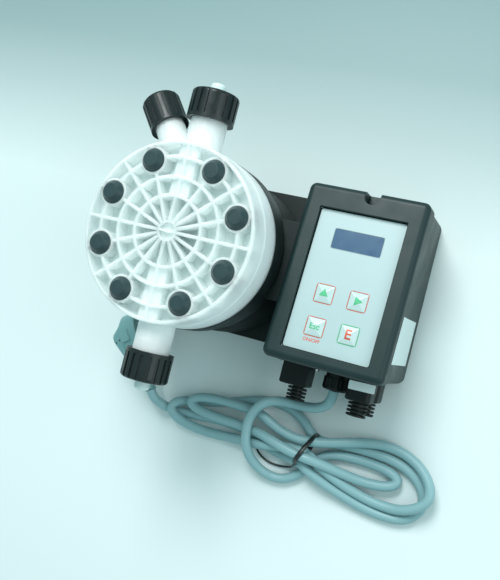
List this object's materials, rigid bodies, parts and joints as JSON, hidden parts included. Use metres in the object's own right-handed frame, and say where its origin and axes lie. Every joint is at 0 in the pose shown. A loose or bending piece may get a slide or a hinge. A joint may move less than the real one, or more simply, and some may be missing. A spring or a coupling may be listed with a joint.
{
  "type": "diaphragm metering pump",
  "caption": "Solenoid diaphragm metering pump with a ribbed head, ball valves, vent, tilted keypad box and coiled mains lead.",
  "frame": {"origin": "where the axis of the pump head meets the flat wall face of the drive housing", "axes": "+Z along the pump head's axis out of the wall face, +Y towards the discharge valve, +X towards the control box"},
  "size_m": [0.2745, 0.2698, 0.1356],
  "materials": {
    "black_plastic": "fine grained",
    "white_plastic": "satin moulded",
    "slate_plastic": "satin",
    "nut_plastic": "satin",
    "panel_plate": "satin printed film",
    "display_glass": "clear",
    "display_body": "satin",
    "key_plastic": "pearl",
    "board": "lacquered",
    "steel": "machined",
    "nickel": "plated",
    "copper": "enamelled wire",
    "bronze": "sintered",
    "aluminium": "turned",
    "white_ptfe": "smooth",
    "ball_glass": "polished",
    "rubber": "matt",
    "grey_cable": "satin PVC",
    "grey_plug": "satin PVC",
    "tie_plastic": "satin"
  },
  "bodies": {
    "pump": {"alarm_connector": "black_plastic", "board_screws": "steel", "box_screws": "steel", "box_seal": "rubber", "circuit_board": "board", "coil_bobbin": "black_plastic", "coil_winding": "copper", "connector_screws": "steel", "control_box": "black_plastic", "diaphragm": "white_ptfe", "discharge_hose_tail": "white_plastic", "discharge_seal": "rubber", "discharge_valve_cage": "white_plastic", "discharge_valve_seat": "white_plastic", "display_module": "display_body", "display_window": "display_glass", "earth_clips": "nickel", "flange_ring": "black_plastic", "front_bezel": "black_plastic", "front_pole": "steel", "gland_body": "black_plastic", "gland_nut": "black_plastic", "guide_bush": "bronze", "head_screws": "steel", "key_plate": "panel_plate", "key_switches": "black_plastic", "lead_at_gland": "grey_cable", "lead_at_plug": "grey_cable", "lead_hank": "grey_cable", "level_connector": "black_plastic", "magnet_yoke": "steel", "motor_housing": "black_plastic", "plug_body": "grey_plug", "plug_pins": "nickel", "pump_head": "white_plastic", "remote_connector": "black_plastic", "return_spring": "steel", "ring_screws": "steel", "screw_caps": "slate_plastic", "suction_hose_tail": "white_plastic", "suction_seal": "rubber", "suction_valve_cage": "white_plastic", "suction_valve_seat": "white_plastic", "twist_tie": "tie_plastic", "vent_spindle": "white_plastic"},
    "plunger": {"armature": "steel", "push_rod": "steel", "diaphragm_carrier": "aluminium"},
    "discharge_ball": {"discharge_ball": "ball_glass"},
    "suction_ball": {"suction_ball": "ball_glass"},
    "discharge_nut": {"discharge_union_nut": "nut_plastic"},
    "suction_nut": {"suction_union_nut": "nut_plastic"},
    "vent_nut": {"vent_nut": "nut_plastic"},
    "key_up": {"key_up": "key_plastic"},
    "key_right": {"key_right": "key_plastic"},
    "key_escape": {"key_escape": "key_plastic"},
    "key_enter": {"key_enter": "key_plastic"}
  },
  "joints": [
    {"name": "pump_stroke", "type": "slide", "parent": "pump", "child": "plunger", "axis": [0, 0, 1], "range_m": [0, 0.00125], "stiffness_N_per_m": 6000, "springref_m": -0.001, "deforming": ["return_spring", "diaphragm"]},
    {"name": "discharge_ball_lift", "type": "slide", "parent": "pump", "child": "discharge_ball", "axis": [0, 1, 0], "range_m": [0, 0.002]},
    {"name": "suction_ball_lift", "type": "slide", "parent": "pump", "child": "suction_ball", "axis": [0, 1, 0], "range_m": [0, 0.002]},
    {"name": "discharge_nut_turn", "type": "hinge", "parent": "pump", "child": "discharge_nut", "pos_m": [0, 0.09, 0.109], "axis": [0, 1, 0], "range_deg": [0, 360]},
    {"name": "suction_nut_turn", "type": "hinge", "parent": "pump", "child": "suction_nut", "pos_m": [0, -0.09, 0.109], "axis": [0, -1, 0], "range_deg": [0, 360]},
    {"name": "vent_nut_turn", "type": "hinge", "parent": "pump", "child": "vent_nut", "pos_m": [-0.03755, 0.08004, 0.10065], "axis": [-0.6259, 0.7674, -0.1392], "range_deg": [0, 360]},
    {"name": "key_up_press", "type": "slide", "parent": "pump", "child": "key_up", "axis": [0, -0.1184, -0.993], "range_m": [0, 0.0005], "stiffness_N_per_m": 2400, "springref_m": -0.0001},
    {"name": "key_right_press", "type": "slide", "parent": "pump", "child": "key_right", "axis": [0, -0.1184, -0.993], "range_m": [0, 0.0005], "stiffness_N_per_m": 2400, "springref_m": -0.0001},
    {"name": "key_escape_press", "type": "slide", "parent": "pump", "child": "key_escape", "axis": [0, -0.1184, -0.993], "range_m": [0, 0.0005], "stiffness_N_per_m": 2400, "springref_m": -0.0001},
    {"name": "key_enter_press", "type": "slide", "parent": "pump", "child": "key_enter", "axis": [0, -0.1184, -0.993], "range_m": [0, 0.0005], "stiffness_N_per_m": 2400, "springref_m": -0.0001}
  ]
}
